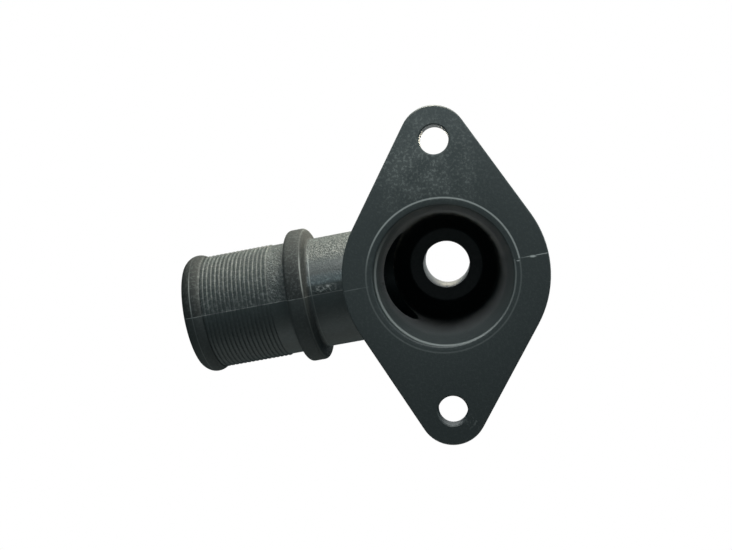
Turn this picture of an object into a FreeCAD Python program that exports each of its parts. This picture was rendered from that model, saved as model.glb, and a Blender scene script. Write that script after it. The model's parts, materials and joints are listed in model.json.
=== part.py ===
"""Coolant flange of an engine, moulded in one piece from glass-filled plastic.

A diamond-shaped mounting flange with two bolt holes carries a round housing.
A ridged hose pipe with an end bead and a stop collar leaves the housing at the side,
and a small nozzle continues straight out of its back.

Frame, in millimetres: the origin is the centre of the bore on the mounting face.
The mounting face lies in the plane y = 0 and looks along -Y, towards the engine block.
The housing extends along +Y, the bolts stand above each other along Z,
and the hose pipe points along -X, dropping a little and leaning away from the engine.
"""

import FreeCAD
import Part
import math
import os
import Sketcher

# Driving dimensions: name, value and what it measures.
# Lengths are in millimetres and angles in degrees. Depths are measured from the
# mounting face along the housing's axis, and stations from that axis along the pipe.
# Sizes that follow on one another are given as steps, so that their order holds.
DIMENSIONS = (
    ("flange_thickness", 8.5, "thickness of the mounting flange"),
    ("bolt_spacing", 64.0, "distance between the two bolt holes"),
    ("bolt_hole_radius", 3.5, "radius of each bolt hole"),
    ("bolt_hole_chamfer", 0.3, "chamfer of the bolt holes at the mounting face"),
    ("ear_radius", 8.1, "outline radius round each bolt hole"),
    ("lobe_radius", 24.6, "outline radius of the middle of the flange"),
    ("lobe_shift", 0.6, "offset of that middle from the bore, away from the pipe"),
    ("face_chamfer", 0.25, "chamfer of the outline at the mounting face"),
    ("back_chamfer", 0.8, "chamfer of the outline at the back of the flange"),
    ("core_tilt", 2.5, "angle by which bore, housing and nozzle rise towards the back"),
    ("chamber_radius", 13.2, "chamber radius where its back cone begins"),
    ("chamber_flare", 1.9, "how much wider the chamber is where the funnel ends"),
    ("funnel_flare", 1.65, "how much wider the funnel gets from there to the lip"),
    ("mouth_flare", 1.45, "how much wider the mouth gets from the lip to the face"),
    ("lip_depth", 0.28, "depth of that crisp lip"),
    ("funnel_length", 8.72, "length of the funnel below the lip"),
    ("throat_round", 25.0, "soft rounding between the funnel and the chamber wall"),
    ("cone_gap", 3.65, "distance between the pipe's neck and the chamber's back cone"),
    ("cone_length", 7.0, "length of that cone, which ends at the chamber's floor"),
    ("floor_radius", 9.8, "radius of the flat floor at the back of the chamber"),
    ("housing_wall", 3.0, "wall of the housing round the chamber and behind its floor"),
    ("housing_root", 1.5, "slope between the flange and the housing"),
    ("shoulder_chamfer", 1.2, "chamfer of the housing's back shoulder"),
    ("port_radius", 6.2, "radius of the through port in the back nozzle"),
    ("nozzle_wall", 2.3, "wall of the back nozzle"),
    ("nozzle_length", 23.0, "length of the port, from the floor to the nozzle's end"),
    ("nozzle_bead_height", 0.8, "height of the bead round the back nozzle"),
    ("nozzle_bead_inset", 3.2, "distance of that bead's crest from the nozzle's end"),
    ("nozzle_bead_length", 3.6, "length of that bead at its feet"),
    ("nozzle_bead_land", 1.2, "length of its flat crest"),
    ("nozzle_end_chamfer", 0.6, "chamfer of the nozzle's end"),
    ("pipe_gap", 1.15, "distance between the flange and the pipe's neck"),
    ("pipe_lean", 5.6, "angle by which the pipe leans away from the engine"),
    ("pipe_droop", 6.4, "angle by which the pipe drops below the level"),
    ("pipe_bore", 11.0, "inner radius of the hose pipe"),
    ("pipe_bore_edge", 0.5, "chamfer of the bore at the hose end"),
    ("neck_radius", 13.85, "radius of the neck between the housing and the collar"),
    ("neck_root_round", 1.5, "fillet between the neck and the housing"),
    ("collar_height", 2.81, "height above the hose seat of the collar that stops the hose"),
    ("collar_start", 32.7, "station of the collar's foot on the neck"),
    ("collar_length", 5.3, "length of the collar's foot"),
    ("collar_slope", 0.45, "how far each flank of the collar leans in"),
    ("collar_chamfer", 0.7, "chamfer of both edges of the collar's crest"),
    ("seat_radius", 14.04, "radius of the plain hose seat"),
    ("seat_length", 4.6, "length of that seat, from the collar to the first ridge"),
    ("ridge_height", 0.3, "height of the ridges above the hose seat"),
    ("ridge_pitch", 1.09, "pitch of the ridges"),
    ("ridge_count", 16, "number of ridges"),
    ("ridge_rise", 0.24, "length of the steep flank of a ridge, towards the collar"),
    ("bead_height", 0.71, "height above the ridges of the bead at the hose end"),
    ("bead_run", 2.06, "distance between the ridges and the bead's crest"),
    ("bead_curve", 3.4, "radius of the bead's rounded section"),
    ("bead_tip", 2.9, "distance between the bead's crest and the pipe's end"),
)

# Expressions of the depths and stations that follow from those steps.
PIPE_DEPTH = "(Sizes.flange_thickness + Sizes.pipe_gap + Sizes.neck_radius)"
CONE_DEPTH = f"({PIPE_DEPTH} + Sizes.neck_radius + Sizes.cone_gap)"
FLOOR_DEPTH = f"({CONE_DEPTH} + Sizes.cone_length)"
NOZZLE_END = f"({FLOOR_DEPTH} + Sizes.nozzle_length)"
COLLAR_END = "(Sizes.collar_start + Sizes.collar_length)"
RIDGE_START = f"({COLLAR_END} + Sizes.seat_length)"
RIDGE_END = f"({RIDGE_START} + Sizes.ridge_pitch * Sizes.ridge_count)"
BEAD_CREST = f"({RIDGE_END} + Sizes.bead_run)"
HOSE_END = f"({BEAD_CREST} + Sizes.bead_tip)"

# Expressions of the radii that do.
THROAT_RADIUS = "(Sizes.chamber_radius + Sizes.chamber_flare)"
LIP_RADIUS = f"({THROAT_RADIUS} + Sizes.funnel_flare)"
RIDGE_RADIUS = "(Sizes.seat_radius + Sizes.ridge_height)"
COLLAR_RADIUS = "(Sizes.seat_radius + Sizes.collar_height)"

# Placement expressions of the two working planes that hold the turned profiles:
# the core plane follows the housing's axis and the pipe plane the hose pipe's axis.
CORE_PLANE = "placement(vector(0; 0; 0); rotation(Sizes.core_tilt; 0; 0))"
PIPE_PLANE = (
    f"placement(vector(0; {PIPE_DEPTH}; {PIPE_DEPTH} * tan(Sizes.core_tilt)); "
    "rotation(180 - Sizes.pipe_lean; Sizes.pipe_droop; 0))"
)

# How far a cut runs past the surface that it opens.
OVERRUN = "2"

TOLERANCE = 1e-4


def make_sheet(document):
    """Write the driving dimensions to a spreadsheet with one alias per row."""
    sheet = document.addObject("Spreadsheet::Sheet", "Sizes")
    for row, (alias, number, meaning) in enumerate(DIMENSIONS, start=1):
        sheet.set(f"A{row}", meaning)
        sheet.set(f"B{row}", str(number))
        sheet.setAlias(f"B{row}", alias)
    document.recompute()


def value(owner, expression):
    """Return what an expression on the driving dimensions comes to."""
    return float(owner.evalExpression(expression))


def add_sketch(body, name, role, placement=None):
    """Attach a new sketch to an origin plane, moved by a placement expression."""
    planes = {feature.Role: feature for feature in body.Origin.OriginFeatures}
    sketch = body.newObject("Sketcher::SketchObject", name)
    sketch.AttachmentSupport = [(planes[role], "")]
    sketch.MapMode = "FlatFace"
    if placement:
        sketch.setExpression("AttachmentOffset", placement)
    body.Document.recompute()
    return sketch


def constrain(sketch, name, expression, kind, *geometry):
    """Add a named dimension to a sketch and bind it to the driving dimensions."""
    number = value(sketch, expression)
    index = sketch.addConstraint(Sketcher.Constraint(kind, *geometry, number))
    sketch.renameConstraint(index, name)
    sketch.setExpression(f"Constraints.{name}", expression)


def place_point(sketch, name, geometry, vertex, across, up):
    """Hold one vertex of a sketch at the given distances from its origin."""
    constrain(sketch, f"{name}_x", across, "DistanceX", -1, 1, geometry, vertex)
    constrain(sketch, f"{name}_y", up, "DistanceY", -1, 1, geometry, vertex)


def join_ends(sketch, kind, count):
    """Join each piece of a closed outline to the next with a constraint."""
    for index in range(count):
        following = (index + 1) % count
        sketch.addConstraint(Sketcher.Constraint(kind, index, 2, following, 1))


def draw_profile(sketch, corners):
    """Draw a closed outline of straight lines through named corners.

    Each corner is a name with two expressions, its distance along the sketch's
    horizontal axis and its distance from that axis.
    """
    points = [
        FreeCAD.Vector(value(sketch, across), value(sketch, up), 0)
        for _, across, up in corners
    ]
    for start, end in zip(points, points[1:] + points[:1]):
        sketch.addGeometry(Part.LineSegment(start, end))
    join_ends(sketch, "Coincident", len(points))
    for index, (name, across, up) in enumerate(corners):
        place_point(sketch, name, index, 1, across, up)


def draw_bead(sketch, crest, height, curve, first, last):
    """Draw the section of a rounded bead down to the sketch's axis.

    All are expressions: where the crest lies along the axis, the bead's radius there,
    the radius of its rounded section, and where along the axis that section runs.
    """
    centre_height = f"{height} - {curve}"
    centre = FreeCAD.Vector(value(sketch, crest), value(sketch, centre_height), 0)
    radius = value(sketch, curve)
    left = value(sketch, first)
    right = value(sketch, last)
    circle = Part.Circle(centre, FreeCAD.Vector(0, 0, 1), radius)
    from_angle = math.acos((right - centre.x) / radius)
    to_angle = math.acos((left - centre.x) / radius)
    arc = Part.ArcOfCircle(circle, from_angle, to_angle)
    foot_left = FreeCAD.Vector(left, 0, 0)
    foot_right = FreeCAD.Vector(right, 0, 0)
    sketch.addGeometry(arc)
    sketch.addGeometry(Part.LineSegment(arc.EndPoint, foot_left))
    sketch.addGeometry(Part.LineSegment(foot_left, foot_right))
    sketch.addGeometry(Part.LineSegment(foot_right, arc.StartPoint))
    join_ends(sketch, "Coincident", 4)
    constrain(sketch, "curve", curve, "Radius", 0)
    place_point(sketch, "centre", 0, 3, crest, centre_height)
    place_point(sketch, "foot_left", 2, 1, first, "0")
    place_point(sketch, "foot_right", 2, 2, last, "0")
    constrain(sketch, "arc_first", first, "DistanceX", -1, 1, 0, 2)
    constrain(sketch, "arc_last", last, "DistanceX", -1, 1, 0, 1)


def revolve(body, kind, name, sketch):
    """Turn a sketch once round its own horizontal axis."""
    feature = body.newObject(kind, name)
    feature.Profile = sketch
    feature.ReferenceAxis = (sketch, ["H_Axis"])
    feature.Angle = 360
    body.Document.recompute()
    return feature


def dress(body, kind, name, base, edges, size):
    """Round or chamfer edges of a feature by one driving dimension."""
    dressed = body.newObject(f"PartDesign::{kind}", name)
    dressed.Base = (base, edges)
    size_property = "Radius" if kind == "Fillet" else "Size"
    dressed.setExpression(size_property, f"Sizes.{size}")
    body.Document.recompute()
    return dressed


def edges_of(feature, test):
    """Return the names of a feature's edges that pass a test."""
    numbered = enumerate(feature.Shape.Edges, start=1)
    return [f"Edge{number}" for number, edge in numbered if test(edge)]


def on_plane(edge, depth):
    """Tell whether an edge lies flat at a depth below the mounting face."""
    box = edge.BoundBox
    return abs(box.YMin - depth) < TOLERANCE and abs(box.YMax - depth) < TOLERANCE


def is_ring(edge, radius, sketch=None, along=None):
    """Tell whether an edge is a circle of a radius, at a place along a sketch's axis."""
    if edge.Degenerated or not isinstance(edge.Curve, Part.Circle):
        return False
    if abs(edge.Curve.Radius - radius) > TOLERANCE:
        return False
    if sketch is None:
        return True
    axis = sketch.Placement.Rotation.multVec(FreeCAD.Vector(1, 0, 0))
    place = (edge.Curve.Center - sketch.Placement.Base).dot(axis)
    return abs(place - along) < TOLERANCE


def draw_flange_outline(sketch):
    """Draw the diamond outline: two ears and a wide middle joined by tangents."""
    reach = value(sketch, "Sizes.bolt_spacing / 2")
    ear = value(sketch, "Sizes.ear_radius")
    lobe = value(sketch, "Sizes.lobe_radius")
    middle = FreeCAD.Vector(value(sketch, "Sizes.lobe_shift"), 0, 0)
    top = FreeCAD.Vector(0, reach, 0)
    bottom = FreeCAD.Vector(0, -reach, 0)
    slant = math.acos((lobe - ear) / reach)
    right = math.pi / 2 - slant
    left = math.pi / 2 + slant
    turn = 2 * math.pi

    def spot(centre, radius, angle):
        return centre + FreeCAD.Vector(radius * math.cos(angle), radius * math.sin(angle), 0)

    def arc(centre, radius, first, last):
        circle = Part.Circle(centre, FreeCAD.Vector(0, 0, 1), radius)
        return Part.ArcOfCircle(circle, first, last)

    outline = (
        arc(top, ear, right, left),
        Part.LineSegment(spot(top, ear, left), spot(middle, lobe, left)),
        arc(middle, lobe, left, turn - left),
        Part.LineSegment(spot(middle, lobe, -left), spot(bottom, ear, -left)),
        arc(bottom, ear, turn - left, turn - right),
        Part.LineSegment(spot(bottom, ear, -right), spot(middle, lobe, -right)),
        arc(middle, lobe, -right, right),
        Part.LineSegment(spot(middle, lobe, right), spot(top, ear, right)),
    )
    for piece in outline:
        sketch.addGeometry(piece)
    join_ends(sketch, "Tangent", len(outline))
    top_ear, left_lobe, bottom_ear, right_lobe = 0, 2, 4, 6
    sketch.addConstraint(Sketcher.Constraint("Equal", top_ear, bottom_ear))
    sketch.addConstraint(Sketcher.Constraint("Equal", left_lobe, right_lobe))
    sketch.addConstraint(Sketcher.Constraint("Coincident", left_lobe, 3, right_lobe, 3))
    constrain(sketch, "ear", "Sizes.ear_radius", "Radius", top_ear)
    constrain(sketch, "lobe", "Sizes.lobe_radius", "Radius", left_lobe)
    place_point(sketch, "middle", left_lobe, 3, "Sizes.lobe_shift", "0")
    place_point(sketch, "top", top_ear, 3, "0", "Sizes.bolt_spacing / 2")
    place_point(sketch, "bottom", bottom_ear, 3, "0", "-Sizes.bolt_spacing / 2")


def build_flange(body):
    """Pad the mounting flange from its outline and chamfer both of its rims."""
    sketch = add_sketch(body, "FlangeOutline", "XZ_Plane")
    draw_flange_outline(sketch)
    pad = body.newObject("PartDesign::Pad", "FlangePad")
    pad.Profile = sketch
    pad.Reversed = True
    pad.setExpression("Length", "Sizes.flange_thickness")
    body.Document.recompute()
    front = edges_of(pad, lambda edge: on_plane(edge, 0))
    eased = dress(body, "Chamfer", "FaceChamfer", pad, front, "face_chamfer")
    thickness = value(body, "Sizes.flange_thickness")
    back = edges_of(eased, lambda edge: on_plane(edge, thickness))
    dress(body, "Chamfer", "BackChamfer", eased, back, "back_chamfer")


def build_housing(body):
    """Turn the outside of the housing and its beaded back nozzle, and ease its edges."""
    inside = "Sizes.flange_thickness / 2"
    back = f"{FLOOR_DEPTH} + Sizes.housing_wall"
    shoulder = "Sizes.floor_radius + Sizes.housing_wall"
    nozzle = "Sizes.port_radius + Sizes.nozzle_wall"
    bead = f"{nozzle} + Sizes.nozzle_bead_height"
    crest = f"{NOZZLE_END} - Sizes.nozzle_bead_inset"
    foot = "Sizes.nozzle_bead_length / 2"
    land = "Sizes.nozzle_bead_land / 2"
    sketch = add_sketch(body, "HousingProfile", "YZ_Plane", CORE_PLANE)
    draw_profile(sketch, (
        ("front_core", inside, "0"),
        ("front", inside, f"{THROAT_RADIUS} + Sizes.housing_wall"),
        ("waist", CONE_DEPTH, "Sizes.chamber_radius + Sizes.housing_wall"),
        ("shoulder", back, shoulder),
        ("nozzle_root", back, nozzle),
        ("bead_foot_first", f"{crest} - {foot}", nozzle),
        ("bead_crest_first", f"{crest} - {land}", bead),
        ("bead_crest_last", f"{crest} + {land}", bead),
        ("bead_foot_last", f"{crest} + {foot}", nozzle),
        ("nozzle_end", NOZZLE_END, nozzle),
        ("nozzle_core", NOZZLE_END, "0"),
    ))
    housing = revolve(body, "PartDesign::Revolution", "Housing", sketch)

    thickness = value(body, "Sizes.flange_thickness")
    root = edges_of(housing, lambda edge: on_plane(edge, thickness) and edge.isClosed())
    blended = dress(body, "Chamfer", "HousingRoot", housing, root, "housing_root")
    depth = value(body, back)
    rim = value(body, shoulder)
    corner = edges_of(blended, lambda edge: is_ring(edge, rim, sketch, depth))
    eased = dress(body, "Chamfer", "ShoulderChamfer", blended, corner, "shoulder_chamfer")
    tube = value(body, nozzle)
    depth = value(body, NOZZLE_END)
    end = edges_of(eased, lambda edge: is_ring(edge, tube, sketch, depth))
    dress(body, "Chamfer", "NozzleEndChamfer", eased, end, "nozzle_end_chamfer")


def build_pipe(body):
    """Turn the hose pipe with its neck, stop collar and plain seat."""
    sketch = add_sketch(body, "PipeProfile", "XY_Plane", PIPE_PLANE)
    draw_profile(sketch, (
        ("root_core", "0", "0"),
        ("root", "0", "Sizes.neck_radius"),
        ("collar_back", "Sizes.collar_start", "Sizes.neck_radius"),
        ("crest_back", "Sizes.collar_start + Sizes.collar_slope", COLLAR_RADIUS),
        ("crest_front", f"{COLLAR_END} - Sizes.collar_slope", COLLAR_RADIUS),
        ("collar_front", COLLAR_END, "Sizes.seat_radius"),
        ("seat_end", RIDGE_END, "Sizes.seat_radius"),
        ("land_start", f"{RIDGE_END} + Sizes.ridge_rise", RIDGE_RADIUS),
        ("land_end", BEAD_CREST, RIDGE_RADIUS),
        ("tip_core", BEAD_CREST, "0"),
    ))
    pipe = revolve(body, "PartDesign::Revolution", "HosePipe", sketch)
    crest = value(body, COLLAR_RADIUS)
    rims = edges_of(pipe, lambda edge: is_ring(edge, crest))
    dress(body, "Chamfer", "CollarChamfer", pipe, rims, "collar_chamfer")


def build_ridges(body):
    """Turn one barbed ridge on the seat and repeat it along the pipe."""
    core = "Sizes.seat_radius - Sizes.ridge_height"
    end = f"{RIDGE_START} + Sizes.ridge_pitch"
    sketch = add_sketch(body, "RidgeProfile", "XY_Plane", PIPE_PLANE)
    draw_profile(sketch, (
        ("core_first", RIDGE_START, core),
        ("foot_first", RIDGE_START, "Sizes.seat_radius"),
        ("crest", f"{RIDGE_START} + Sizes.ridge_rise", RIDGE_RADIUS),
        ("foot_last", end, "Sizes.seat_radius"),
        ("core_last", end, core),
    ))
    ridge = revolve(body, "PartDesign::Revolution", "Ridge", sketch)
    pattern = body.newObject("PartDesign::LinearPattern", "Ridges")
    pattern.Originals = [ridge]
    pattern.Direction = (sketch, ["H_Axis"])
    body.Tip = pattern
    pattern.setExpression("Length", "Sizes.ridge_pitch * (Sizes.ridge_count - 1)")
    pattern.setExpression("Occurrences", "Sizes.ridge_count")
    body.Document.recompute()


def build_hose_bead(body):
    """Add the rounded bead at the hose end, from the plain land to the pipe's end."""
    reach = "sqrt(Sizes.bead_curve ^ 2 - (Sizes.bead_curve - Sizes.bead_height) ^ 2)"
    sketch = add_sketch(body, "HoseBeadProfile", "XY_Plane", PIPE_PLANE)
    draw_bead(
        sketch,
        crest=BEAD_CREST,
        height=f"{RIDGE_RADIUS} + Sizes.bead_height",
        curve="Sizes.bead_curve",
        first=f"{BEAD_CREST} - {reach}",
        last=HOSE_END,
    )
    revolve(body, "PartDesign::Revolution", "HoseBead", sketch)


def blend_neck(body):
    """Blend the neck of the hose pipe into the round housing."""
    neck = value(body, "Sizes.neck_radius")
    base = body.Tip

    def meets_housing(edge):
        if edge.Degenerated or isinstance(edge.Curve, (Part.Circle, Part.Line)):
            return False
        faces = base.Shape.ancestorsOfType(edge, Part.Face)
        radii = [
            face.Surface.Radius for face in faces if isinstance(face.Surface, Part.Cylinder)
        ]
        return any(abs(radius - neck) < TOLERANCE for radius in radii)

    edges = edges_of(base, meets_housing)
    dress(body, "Fillet", "NeckRoot", base, edges, "neck_root_round")


def cut_chamber(body):
    """Turn out the chamber, its back floor and the port through the nozzle."""
    slope = "Sizes.funnel_flare / Sizes.funnel_length"
    mouth = f"{LIP_RADIUS} + {slope} * (Sizes.lip_depth + {OVERRUN})"
    port_end = f"{NOZZLE_END} + {OVERRUN}"
    sketch = add_sketch(body, "ChamberProfile", "YZ_Plane", CORE_PLANE)
    draw_profile(sketch, (
        ("mouth_core", f"-{OVERRUN}", "0"),
        ("mouth", f"-{OVERRUN}", mouth),
        ("throat", "Sizes.lip_depth + Sizes.funnel_length", THROAT_RADIUS),
        ("waist", CONE_DEPTH, "Sizes.chamber_radius"),
        ("floor_rim", FLOOR_DEPTH, "Sizes.floor_radius"),
        ("port_root", FLOOR_DEPTH, "Sizes.port_radius"),
        ("port_end", port_end, "Sizes.port_radius"),
        ("port_core", port_end, "0"),
    ))
    chamber = revolve(body, "PartDesign::Groove", "Chamber", sketch)
    throat = value(body, THROAT_RADIUS)
    ring = edges_of(chamber, lambda edge: is_ring(edge, throat))
    dress(body, "Fillet", "ThroatRound", chamber, ring, "throat_round")


def cut_mouth(body):
    """Cut the shallow cone from the mounting face down to the lip."""
    bottom = "2 * Sizes.lip_depth"
    sketch = add_sketch(body, "MouthProfile", "YZ_Plane")
    draw_profile(sketch, (
        ("front_core", f"-{OVERRUN}", "0"),
        ("front", f"-{OVERRUN}", f"{LIP_RADIUS} + Sizes.mouth_flare"),
        ("face", "0", f"{LIP_RADIUS} + Sizes.mouth_flare"),
        ("below_lip", bottom, f"{LIP_RADIUS} - Sizes.mouth_flare"),
        ("core", bottom, "0"),
    ))
    revolve(body, "PartDesign::Groove", "Mouth", sketch)


def cut_pipe_bore(body):
    """Turn out the bore of the hose pipe from the chamber to the hose end."""
    past_end = f"{HOSE_END} + {OVERRUN}"
    sketch = add_sketch(body, "PipeBoreProfile", "XY_Plane", PIPE_PLANE)
    draw_profile(sketch, (
        ("root_core", "0", "0"),
        ("root", "0", "Sizes.pipe_bore"),
        ("edge", f"{HOSE_END} - Sizes.pipe_bore_edge", "Sizes.pipe_bore"),
        ("flare", past_end, f"Sizes.pipe_bore + Sizes.pipe_bore_edge + {OVERRUN}"),
        ("end_core", past_end, "0"),
    ))
    revolve(body, "PartDesign::Groove", "PipeBore", sketch)


def cut_bolt_holes(body):
    """Cut the two bolt holes through the ears and chamfer their front mouths."""
    sketch = add_sketch(body, "BoltHoles", "XZ_Plane")
    radius = value(body, "Sizes.bolt_hole_radius")
    reach = value(body, "Sizes.bolt_spacing / 2")
    for height in (reach, -reach):
        centre = FreeCAD.Vector(0, height, 0)
        sketch.addGeometry(Part.Circle(centre, FreeCAD.Vector(0, 0, 1), radius))
    sketch.addConstraint(Sketcher.Constraint("Equal", 0, 1))
    constrain(sketch, "hole", "Sizes.bolt_hole_radius", "Radius", 0)
    place_point(sketch, "top", 0, 3, "0", "Sizes.bolt_spacing / 2")
    place_point(sketch, "bottom", 1, 3, "0", "-Sizes.bolt_spacing / 2")
    pocket = body.newObject("PartDesign::Pocket", "BoltHoleCuts")
    pocket.Profile = sketch
    pocket.Type = "ThroughAll"
    pocket.Midplane = True
    body.Document.recompute()
    rims = edges_of(pocket, lambda edge: is_ring(edge, radius) and on_plane(edge, 0))
    dress(body, "Chamfer", "BoltHoleMouths", pocket, rims, "bolt_hole_chamfer")


def build_flange_body(document):
    """Model the whole moulding as one body and return it."""
    body = document.addObject("PartDesign::Body", "flange_body")
    body.Label = "flange_body"
    build_flange(body)
    build_housing(body)
    build_pipe(body)
    build_ridges(body)
    build_hose_bead(body)
    blend_neck(body)
    cut_chamber(body)
    cut_mouth(body)
    cut_pipe_bore(body)
    cut_bolt_holes(body)
    document.recompute()
    return body


def check(document, body):
    """Stop when a feature failed or the moulding isn't one valid solid."""
    for feature in document.Objects:
        if "Invalid" in feature.State or "Error" in feature.State:
            raise RuntimeError(f"{feature.Label} failed: {feature.State}")
        shape = getattr(feature, "Shape", None)
        if shape is not None and shape.isNull():
            raise RuntimeError(f"{feature.Label} has no shape")
    if not body.Shape.isValid() or len(body.Shape.Solids) != 1:
        raise RuntimeError(f"{body.Label} is not one valid solid")


def main():
    """Build the document and write the moulding as a STEP file."""
    document = FreeCAD.newDocument("CoolantFlange")
    make_sheet(document)
    body = build_flange_body(document)
    check(document, body)
    os.makedirs("parts", exist_ok=True)
    body.Shape.exportStep(f"parts/{body.Label}.step")
    print(f"{body.Label}: {body.Shape.Volume:.0f} mm3, {body.Shape.BoundBox}")


main()
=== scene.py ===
"""Looks of a coolant flange, one moulding of black glass-filled nylon, in a plain studio.

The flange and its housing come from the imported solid, with their edges eased. The hose
pipe is turned afresh from its section, with its collar, barbed ridges and bead, and
joined to the neck. A thin flash line runs along the parting plane of the mould.

Sizes of the object are in millimetres and are turned into metres where meshes are built.
The row frame has the bore's mouth at its origin, the mounting face looking along -Y,
the bolts above each other along Z and the hose pipe along -X.
"""

import json
import logging
import math
from dataclasses import dataclass
from enum import Enum
from functools import reduce

import bmesh
import bpy
from mathutils import Matrix, Vector, noise

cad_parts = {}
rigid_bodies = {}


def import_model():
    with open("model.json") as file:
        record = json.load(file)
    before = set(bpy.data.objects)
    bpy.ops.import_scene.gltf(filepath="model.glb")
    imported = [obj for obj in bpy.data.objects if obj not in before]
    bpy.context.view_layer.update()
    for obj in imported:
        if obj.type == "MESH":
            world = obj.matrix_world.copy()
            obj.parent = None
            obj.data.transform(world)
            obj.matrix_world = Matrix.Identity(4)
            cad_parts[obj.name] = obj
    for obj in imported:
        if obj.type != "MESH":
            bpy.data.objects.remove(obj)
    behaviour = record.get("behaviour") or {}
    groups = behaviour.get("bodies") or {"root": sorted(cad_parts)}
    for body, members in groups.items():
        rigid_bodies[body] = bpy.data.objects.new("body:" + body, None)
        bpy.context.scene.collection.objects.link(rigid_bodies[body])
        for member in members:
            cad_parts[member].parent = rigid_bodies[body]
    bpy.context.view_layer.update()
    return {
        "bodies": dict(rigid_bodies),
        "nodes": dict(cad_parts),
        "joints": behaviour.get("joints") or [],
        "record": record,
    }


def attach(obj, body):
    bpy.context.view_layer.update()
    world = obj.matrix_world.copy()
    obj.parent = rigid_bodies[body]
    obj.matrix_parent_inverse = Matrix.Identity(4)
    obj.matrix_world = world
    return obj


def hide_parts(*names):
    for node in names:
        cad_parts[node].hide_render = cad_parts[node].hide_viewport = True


LOG = logging.getLogger("coolant_flange")

MM = 0.001
FULL_TURN = 2 * math.pi

Mesh = bmesh.types.BMesh
Node = bpy.types.Node
Tree = bpy.types.NodeTree
Value = bpy.types.NodeSocket
Colour = tuple[float, float, float, float]
Place = tuple[float, float, float]
Span = tuple[float, float]


# ----- Lines and planes that the moulding follows -----


@dataclass(frozen=True)
class TurningAxis:
    """A line that round shapes are turned about.

    Attributes:
        origin: A point of the line, in millimetres.
        direction: The unit direction in which stations along the line grow.
    """

    origin: Vector
    direction: Vector

    def matrix(self) -> Matrix:
        """Return the placement, in metres, of a section drawn along local X."""
        along = self.direction.normalized()
        across = Vector((0, 0, 1)).cross(along).normalized()
        up = along.cross(across)
        turn = Matrix((along, across, up)).transposed().to_4x4()
        return Matrix.Translation(self.origin * MM) @ turn

    def station(self, point: Vector) -> float:
        """Return how far along the line a point in metres lies, in millimetres."""
        return (point / MM - self.origin).dot(self.direction)

    def radius(self, point: Vector) -> float:
        """Return a metre point's distance from the line, in millimetres."""
        offset = point / MM - self.origin
        return (offset - self.direction * offset.dot(self.direction)).length


def tilted_axis(depth: float, tilt: float, lean: float, droop: float) -> TurningAxis:
    """Return the hose pipe's axis from the angles that place it.

    Args:
        depth: Depth below the mounting face where it crosses the housing's axis.
        tilt: Rise of the housing's axis, in degrees.
        lean: Angle by which the pipe leans away from the mounting face, in degrees.
        droop: Angle by which the pipe drops below the level, in degrees.
    """
    lean_turn = math.radians(lean)
    droop_turn = math.radians(droop)
    level = math.cos(droop_turn)
    direction = Vector((
        -math.cos(lean_turn) * level,
        math.sin(lean_turn) * level,
        -math.sin(droop_turn),
    ))
    return TurningAxis(Vector((0, depth, depth * math.tan(math.radians(tilt)))), direction)


CORE_TILT = 2.5
HOUSING_AXIS = TurningAxis(
    Vector((0, 0, 0)),
    Vector((0, math.cos(math.radians(CORE_TILT)), math.sin(math.radians(CORE_TILT)))),
)
PIPE_AXIS = tilted_axis(depth=23.5, tilt=CORE_TILT, lean=5.6, droop=6.4)


@dataclass(frozen=True)
class PartingPlane:
    """The plane in which the two halves of the mould meet: it holds both axes.

    Attributes:
        lift: Height of the plane above those axes, in millimetres.
        face_lift: Height above them at which its line crosses the mounting face.
        settled: Depth from which the line lies in the plane.
    """

    lift: float = 0.35
    face_lift: float = 0.6
    settled: float = 12.0

    @property
    def normal(self) -> Vector:
        """Return the plane's unit normal, on its upper side."""
        return PIPE_AXIS.direction.cross(HOUSING_AXIS.direction).normalized() * -1

    @property
    def point(self) -> Vector:
        """Return a point of the plane, in metres."""
        return (self.normal * self.lift) * MM

    def over(self, point: Vector) -> float:
        """Return how far above the plane a point in metres lies, in millimetres."""
        return (point - self.point).dot(self.normal) / MM


PARTING = PartingPlane()


# ----- Node helpers -----


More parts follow.
